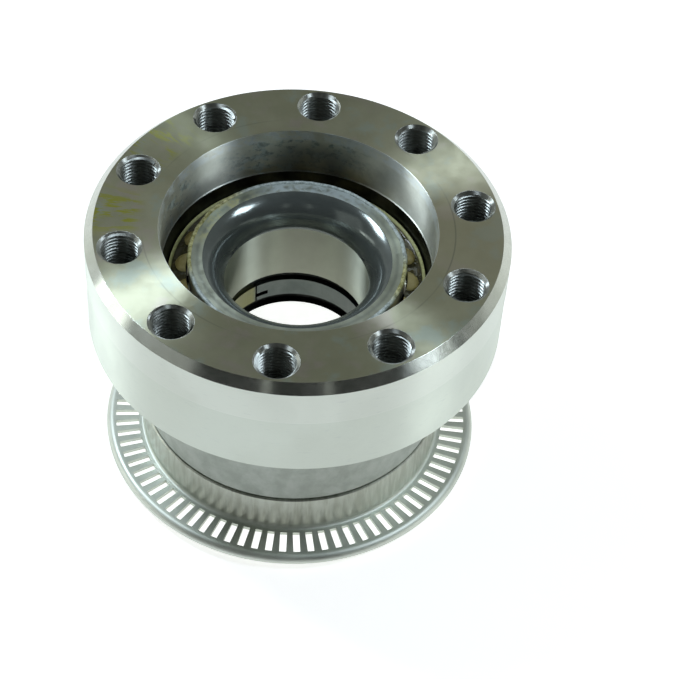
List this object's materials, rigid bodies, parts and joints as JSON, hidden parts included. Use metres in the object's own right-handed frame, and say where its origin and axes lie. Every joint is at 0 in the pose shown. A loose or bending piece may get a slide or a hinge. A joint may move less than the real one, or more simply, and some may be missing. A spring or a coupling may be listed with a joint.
{
  "type": "wheel hub bearing unit",
  "caption": "Flanged wheel hub of turned steel over rows of tapered rollers, with a spindle bore, tapped wheel holes and a slotted tone ring.",
  "frame": {"origin": "on the hub's axis, in the plane of the inboard inner ring's face, which is the unit's lowest plane", "axes": "+Z along the hub's axis, from the inboard side to the flange face; +Y through the centre of one tapped hole; +X to its right"},
  "size_m": [0.196, 0.196, 0.139],
  "materials": {
    "turned_steel": "turned steel with an olive oil film",
    "ground_steel": "ground bearing steel, lightly oiled",
    "roller_steel": "polished bearing steel",
    "spring_steel": "blued spring steel",
    "cage_plastic": "moulded cage, greased",
    "seal_steel": "pressed sheet steel",
    "seal_rubber": "moulded rubber",
    "tone_steel": "pressed and pierced sheet steel, bluish grey"
  },
  "bodies": {
    "inner_rings": {"inner_ring_outboard": "ground_steel", "inner_ring_inboard": "ground_steel", "clip_ring": "spring_steel", "seal_flinger": "seal_steel"},
    "hub": {"hub_outer_ring": "turned_steel", "tone_ring": "tone_steel", "seal_case": "seal_steel", "seal_lip": "seal_rubber", "garter_spring": "spring_steel"},
    "cage_outboard": {"cage_outboard": "cage_plastic"},
    "cage_inboard": {"cage_inboard": "cage_plastic"},
    "roller_outboard_01": {"roller_outboard_01": "roller_steel"},
    "roller_outboard_02": {"roller_outboard_02": "roller_steel"},
    "roller_outboard_03": {"roller_outboard_03": "roller_steel"},
    "roller_outboard_04": {"roller_outboard_04": "roller_steel"},
    "roller_outboard_05": {"roller_outboard_05": "roller_steel"},
    "roller_outboard_06": {"roller_outboard_06": "roller_steel"},
    "roller_outboard_07": {"roller_outboard_07": "roller_steel"},
    "roller_outboard_08": {"roller_outboard_08": "roller_steel"},
    "roller_outboard_09": {"roller_outboard_09": "roller_steel"},
    "roller_outboard_10": {"roller_outboard_10": "roller_steel"},
    "roller_outboard_11": {"roller_outboard_11": "roller_steel"},
    "roller_outboard_12": {"roller_outboard_12": "roller_steel"},
    "roller_outboard_13": {"roller_outboard_13": "roller_steel"},
    "roller_outboard_14": {"roller_outboard_14": "roller_steel"},
    "roller_outboard_15": {"roller_outboard_15": "roller_steel"},
    "roller_outboard_16": {"roller_outboard_16": "roller_steel"},
    "roller_outboard_17": {"roller_outboard_17": "roller_steel"},
    "roller_outboard_18": {"roller_outboard_18": "roller_steel"},
    "roller_outboard_19": {"roller_outboard_19": "roller_steel"},
    "roller_outboard_20": {"roller_outboard_20": "roller_steel"},
    "roller_inboard_01": {"roller_inboard_01": "roller_steel"},
    "roller_inboard_02": {"roller_inboard_02": "roller_steel"},
    "roller_inboard_03": {"roller_inboard_03": "roller_steel"},
    "roller_inboard_04": {"roller_inboard_04": "roller_steel"},
    "roller_inboard_05": {"roller_inboard_05": "roller_steel"},
    "roller_inboard_06": {"roller_inboard_06": "roller_steel"},
    "roller_inboard_07": {"roller_inboard_07": "roller_steel"},
    "roller_inboard_08": {"roller_inboard_08": "roller_steel"},
    "roller_inboard_09": {"roller_inboard_09": "roller_steel"},
    "roller_inboard_10": {"roller_inboard_10": "roller_steel"},
    "roller_inboard_11": {"roller_inboard_11": "roller_steel"},
    "roller_inboard_12": {"roller_inboard_12": "roller_steel"},
    "roller_inboard_13": {"roller_inboard_13": "roller_steel"},
    "roller_inboard_14": {"roller_inboard_14": "roller_steel"},
    "roller_inboard_15": {"roller_inboard_15": "roller_steel"},
    "roller_inboard_16": {"roller_inboard_16": "roller_steel"},
    "roller_inboard_17": {"roller_inboard_17": "roller_steel"},
    "roller_inboard_18": {"roller_inboard_18": "roller_steel"},
    "roller_inboard_19": {"roller_inboard_19": "roller_steel"},
    "roller_inboard_20": {"roller_inboard_20": "roller_steel"}
  },
  "joints": [
    {"name": "hub_spin", "type": "hinge", "parent": "inner_rings", "child": "hub", "pos_m": [0, 0, 0.0623], "axis": [0, 0, 1], "continuous": true},
    {"name": "cage_outboard_spin", "type": "hinge", "parent": "inner_rings", "child": "cage_outboard", "pos_m": [0, 0, 0.0623], "axis": [0, 0, 1], "continuous": true},
    {"name": "cage_inboard_spin", "type": "hinge", "parent": "inner_rings", "child": "cage_inboard", "pos_m": [0, 0, 0.0623], "axis": [0, 0, 1], "continuous": true},
    {"name": "roller_outboard_01_spin", "type": "hinge", "parent": "cage_outboard", "child": "roller_outboard_01", "pos_m": [0.04952, 0.00173, 0.09004], "axis": [0.2452, 0.0086, 0.9694], "continuous": true},
    {"name": "roller_outboard_02_spin", "type": "hinge", "parent": "cage_outboard", "child": "roller_outboard_02", "pos_m": [0.04656, 0.01695, 0.09004], "axis": [0.2305, 0.0839, 0.9694], "continuous": true},
    {"name": "roller_outboard_03_spin", "type": "hinge", "parent": "cage_outboard", "child": "roller_outboard_03", "pos_m": [0.03905, 0.03051, 0.09004], "axis": [0.1933, 0.151, 0.9694], "continuous": true},
    {"name": "roller_outboard_04_spin", "type": "hinge", "parent": "cage_outboard", "child": "roller_outboard_04", "pos_m": [0.02771, 0.04108, 0.09004], "axis": [0.1372, 0.2034, 0.9694], "continuous": true},
    {"name": "roller_outboard_05_spin", "type": "hinge", "parent": "cage_outboard", "child": "roller_outboard_05", "pos_m": [0.01366, 0.04763, 0.09004], "axis": [0.0676, 0.2358, 0.9694], "continuous": true},
    {"name": "roller_outboard_06_spin", "type": "hinge", "parent": "cage_outboard", "child": "roller_outboard_06", "pos_m": [-0.00173, 0.04952, 0.09004], "axis": [-0.0086, 0.2452, 0.9694], "continuous": true},
    {"name": "roller_outboard_07_spin", "type": "hinge", "parent": "cage_outboard", "child": "roller_outboard_07", "pos_m": [-0.01695, 0.04656, 0.09004], "axis": [-0.0839, 0.2305, 0.9694], "continuous": true},
    {"name": "roller_outboard_08_spin", "type": "hinge", "parent": "cage_outboard", "child": "roller_outboard_08", "pos_m": [-0.03051, 0.03905, 0.09004], "axis": [-0.151, 0.1933, 0.9694], "continuous": true},
    {"name": "roller_outboard_09_spin", "type": "hinge", "parent": "cage_outboard", "child": "roller_outboard_09", "pos_m": [-0.04108, 0.02771, 0.09004], "axis": [-0.2034, 0.1372, 0.9694], "continuous": true},
    {"name": "roller_outboard_10_spin", "type": "hinge", "parent": "cage_outboard", "child": "roller_outboard_10", "pos_m": [-0.04763, 0.01366, 0.09004], "axis": [-0.2358, 0.0676, 0.9694], "continuous": true},
    {"name": "roller_outboard_11_spin", "type": "hinge", "parent": "cage_outboard", "child": "roller_outboard_11", "pos_m": [-0.04952, -0.00173, 0.09004], "axis": [-0.2452, -0.0086, 0.9694], "continuous": true},
    {"name": "roller_outboard_12_spin", "type": "hinge", "parent": "cage_outboard", "child": "roller_outboard_12", "pos_m": [-0.04656, -0.01695, 0.09004], "axis": [-0.2305, -0.0839, 0.9694], "continuous": true},
    {"name": "roller_outboard_13_spin", "type": "hinge", "parent": "cage_outboard", "child": "roller_outboard_13", "pos_m": [-0.03905, -0.03051, 0.09004], "axis": [-0.1933, -0.151, 0.9694], "continuous": true},
    {"name": "roller_outboard_14_spin", "type": "hinge", "parent": "cage_outboard", "child": "roller_outboard_14", "pos_m": [-0.02771, -0.04108, 0.09004], "axis": [-0.1372, -0.2034, 0.9694], "continuous": true},
    {"name": "roller_outboard_15_spin", "type": "hinge", "parent": "cage_outboard", "child": "roller_outboard_15", "pos_m": [-0.01366, -0.04763, 0.09004], "axis": [-0.0676, -0.2358, 0.9694], "continuous": true},
    {"name": "roller_outboard_16_spin", "type": "hinge", "parent": "cage_outboard", "child": "roller_outboard_16", "pos_m": [0.00173, -0.04952, 0.09004], "axis": [0.0086, -0.2452, 0.9694], "continuous": true},
    {"name": "roller_outboard_17_spin", "type": "hinge", "parent": "cage_outboard", "child": "roller_outboard_17", "pos_m": [0.01695, -0.04656, 0.09004], "axis": [0.0839, -0.2305, 0.9694], "continuous": true},
    {"name": "roller_outboard_18_spin", "type": "hinge", "parent": "cage_outboard", "child": "roller_outboard_18", "pos_m": [0.03051, -0.03905, 0.09004], "axis": [0.151, -0.1933, 0.9694], "continuous": true},
    {"name": "roller_outboard_19_spin", "type": "hinge", "parent": "cage_outboard", "child": "roller_outboard_19", "pos_m": [0.04108, -0.02771, 0.09004], "axis": [0.2034, -0.1372, 0.9694], "continuous": true},
    {"name": "roller_outboard_20_spin", "type": "hinge", "parent": "cage_outboard", "child": "roller_outboard_20", "pos_m": [0.04763, -0.01366, 0.09004], "axis": [0.2358, -0.0676, 0.9694], "continuous": true},
    {"name": "roller_inboard_01_spin", "type": "hinge", "parent": "cage_inboard", "child": "roller_inboard_01", "pos_m": [0.04952, 0.00173, 0.03456], "axis": [-0.2452, -0.0086, 0.9694], "continuous": true},
    {"name": "roller_inboard_02_spin", "type": "hinge", "parent": "cage_inboard", "child": "roller_inboard_02", "pos_m": [0.04656, 0.01695, 0.03456], "axis": [-0.2305, -0.0839, 0.9694], "continuous": true},
    {"name": "roller_inboard_03_spin", "type": "hinge", "parent": "cage_inboard", "child": "roller_inboard_03", "pos_m": [0.03905, 0.03051, 0.03456], "axis": [-0.1933, -0.151, 0.9694], "continuous": true},
    {"name": "roller_inboard_04_spin", "type": "hinge", "parent": "cage_inboard", "child": "roller_inboard_04", "pos_m": [0.02771, 0.04108, 0.03456], "axis": [-0.1372, -0.2034, 0.9694], "continuous": true},
    {"name": "roller_inboard_05_spin", "type": "hinge", "parent": "cage_inboard", "child": "roller_inboard_05", "pos_m": [0.01366, 0.04763, 0.03456], "axis": [-0.0676, -0.2358, 0.9694], "continuous": true},
    {"name": "roller_inboard_06_spin", "type": "hinge", "parent": "cage_inboard", "child": "roller_inboard_06", "pos_m": [-0.00173, 0.04952, 0.03456], "axis": [0.0086, -0.2452, 0.9694], "continuous": true},
    {"name": "roller_inboard_07_spin", "type": "hinge", "parent": "cage_inboard", "child": "roller_inboard_07", "pos_m": [-0.01695, 0.04656, 0.03456], "axis": [0.0839, -0.2305, 0.9694], "continuous": true},
    {"name": "roller_inboard_08_spin", "type": "hinge", "parent": "cage_inboard", "child": "roller_inboard_08", "pos_m": [-0.03051, 0.03905, 0.03456], "axis": [0.151, -0.1933, 0.9694], "continuous": true},
    {"name": "roller_inboard_09_spin", "type": "hinge", "parent": "cage_inboard", "child": "roller_inboard_09", "pos_m": [-0.04108, 0.02771, 0.03456], "axis": [0.2034, -0.1372, 0.9694], "continuous": true},
    {"name": "roller_inboard_10_spin", "type": "hinge", "parent": "cage_inboard", "child": "roller_inboard_10", "pos_m": [-0.04763, 0.01366, 0.03456], "axis": [0.2358, -0.0676, 0.9694], "continuous": true},
    {"name": "roller_inboard_11_spin", "type": "hinge", "parent": "cage_inboard", "child": "roller_inboard_11", "pos_m": [-0.04952, -0.00173, 0.03456], "axis": [0.2452, 0.0086, 0.9694], "continuous": true},
    {"name": "roller_inboard_12_spin", "type": "hinge", "parent": "cage_inboard", "child": "roller_inboard_12", "pos_m": [-0.04656, -0.01695, 0.03456], "axis": [0.2305, 0.0839, 0.9694], "continuous": true},
    {"name": "roller_inboard_13_spin", "type": "hinge", "parent": "cage_inboard", "child": "roller_inboard_13", "pos_m": [-0.03905, -0.03051, 0.03456], "axis": [0.1933, 0.151, 0.9694], "continuous": true},
    {"name": "roller_inboard_14_spin", "type": "hinge", "parent": "cage_inboard", "child": "roller_inboard_14", "pos_m": [-0.02771, -0.04108, 0.03456], "axis": [0.1372, 0.2034, 0.9694], "continuous": true},
    {"name": "roller_inboard_15_spin", "type": "hinge", "parent": "cage_inboard", "child": "roller_inboard_15", "pos_m": [-0.01366, -0.04763, 0.03456], "axis": [0.0676, 0.2358, 0.9694], "continuous": true},
    {"name": "roller_inboard_16_spin", "type": "hinge", "parent": "cage_inboard", "child": "roller_inboard_16", "pos_m": [0.00173, -0.04952, 0.03456], "axis": [-0.0086, 0.2452, 0.9694], "continuous": true},
    {"name": "roller_inboard_17_spin", "type": "hinge", "parent": "cage_inboard", "child": "roller_inboard_17", "pos_m": [0.01695, -0.04656, 0.03456], "axis": [-0.0839, 0.2305, 0.9694], "continuous": true},
    {"name": "roller_inboard_18_spin", "type": "hinge", "parent": "cage_inboard", "child": "roller_inboard_18", "pos_m": [0.03051, -0.03905, 0.03456], "axis": [-0.151, 0.1933, 0.9694], "continuous": true},
    {"name": "roller_inboard_19_spin", "type": "hinge", "parent": "cage_inboard", "child": "roller_inboard_19", "pos_m": [0.04108, -0.02771, 0.03456], "axis": [-0.2034, 0.1372, 0.9694], "continuous": true},
    {"name": "roller_inboard_20_spin", "type": "hinge", "parent": "cage_inboard", "child": "roller_inboard_20", "pos_m": [0.04763, -0.01366, 0.03456], "axis": [-0.2358, 0.0676, 0.9694], "continuous": true}
  ],
  "couplings": [
    {"joint": "cage_outboard_spin", "follows": "hub_spin", "ratio": 0.56149},
    {"joint": "cage_inboard_spin", "follows": "hub_spin", "ratio": 0.56149},
    {"joint": "roller_outboard_01_spin", "follows": "hub_spin", "ratio": 3.8816},
    {"joint": "roller_outboard_02_spin", "follows": "hub_spin", "ratio": 3.8816},
    {"joint": "roller_outboard_03_spin", "follows": "hub_spin", "ratio": 3.8816},
    {"joint": "roller_outboard_04_spin", "follows": "hub_spin", "ratio": 3.8816},
    {"joint": "roller_outboard_05_spin", "follows": "hub_spin", "ratio": 3.8816},
    {"joint": "roller_outboard_06_spin", "follows": "hub_spin", "ratio": 3.8816},
    {"joint": "roller_outboard_07_spin", "follows": "hub_spin", "ratio": 3.8816},
    {"joint": "roller_outboard_08_spin", "follows": "hub_spin", "ratio": 3.8816},
    {"joint": "roller_outboard_09_spin", "follows": "hub_spin", "ratio": 3.8816},
    {"joint": "roller_outboard_10_spin", "follows": "hub_spin", "ratio": 3.8816},
    {"joint": "roller_outboard_11_spin", "follows": "hub_spin", "ratio": 3.8816},
    {"joint": "roller_outboard_12_spin", "follows": "hub_spin", "ratio": 3.8816},
    {"joint": "roller_outboard_13_spin", "follows": "hub_spin", "ratio": 3.8816},
    {"joint": "roller_outboard_14_spin", "follows": "hub_spin", "ratio": 3.8816},
    {"joint": "roller_outboard_15_spin", "follows": "hub_spin", "ratio": 3.8816},
    {"joint": "roller_outboard_16_spin", "follows": "hub_spin", "ratio": 3.8816},
    {"joint": "roller_outboard_17_spin", "follows": "hub_spin", "ratio": 3.8816},
    {"joint": "roller_outboard_18_spin", "follows": "hub_spin", "ratio": 3.8816},
    {"joint": "roller_outboard_19_spin", "follows": "hub_spin", "ratio": 3.8816},
    {"joint": "roller_outboard_20_spin", "follows": "hub_spin", "ratio": 3.8816},
    {"joint": "roller_inboard_01_spin", "follows": "hub_spin", "ratio": 3.8816},
    {"joint": "roller_inboard_02_spin", "follows": "hub_spin", "ratio": 3.8816},
    {"joint": "roller_inboard_03_spin", "follows": "hub_spin", "ratio": 3.8816},
    {"joint": "roller_inboard_04_spin", "follows": "hub_spin", "ratio": 3.8816},
    {"joint": "roller_inboard_05_spin", "follows": "hub_spin", "ratio": 3.8816},
    {"joint": "roller_inboard_06_spin", "follows": "hub_spin", "ratio": 3.8816},
    {"joint": "roller_inboard_07_spin", "follows": "hub_spin", "ratio": 3.8816},
    {"joint": "roller_inboard_08_spin", "follows": "hub_spin", "ratio": 3.8816},
    {"joint": "roller_inboard_09_spin", "follows": "hub_spin", "ratio": 3.8816},
    {"joint": "roller_inboard_10_spin", "follows": "hub_spin", "ratio": 3.8816},
    {"joint": "roller_inboard_11_spin", "follows": "hub_spin", "ratio": 3.8816},
    {"joint": "roller_inboard_12_spin", "follows": "hub_spin", "ratio": 3.8816},
    {"joint": "roller_inboard_13_spin", "follows": "hub_spin", "ratio": 3.8816},
    {"joint": "roller_inboard_14_spin", "follows": "hub_spin", "ratio": 3.8816},
    {"joint": "roller_inboard_15_spin", "follows": "hub_spin", "ratio": 3.8816},
    {"joint": "roller_inboard_16_spin", "follows": "hub_spin", "ratio": 3.8816},
    {"joint": "roller_inboard_17_spin", "follows": "hub_spin", "ratio": 3.8816},
    {"joint": "roller_inboard_18_spin", "follows": "hub_spin", "ratio": 3.8816},
    {"joint": "roller_inboard_19_spin", "follows": "hub_spin", "ratio": 3.8816},
    {"joint": "roller_inboard_20_spin", "follows": "hub_spin", "ratio": 3.8816}
  ]
}
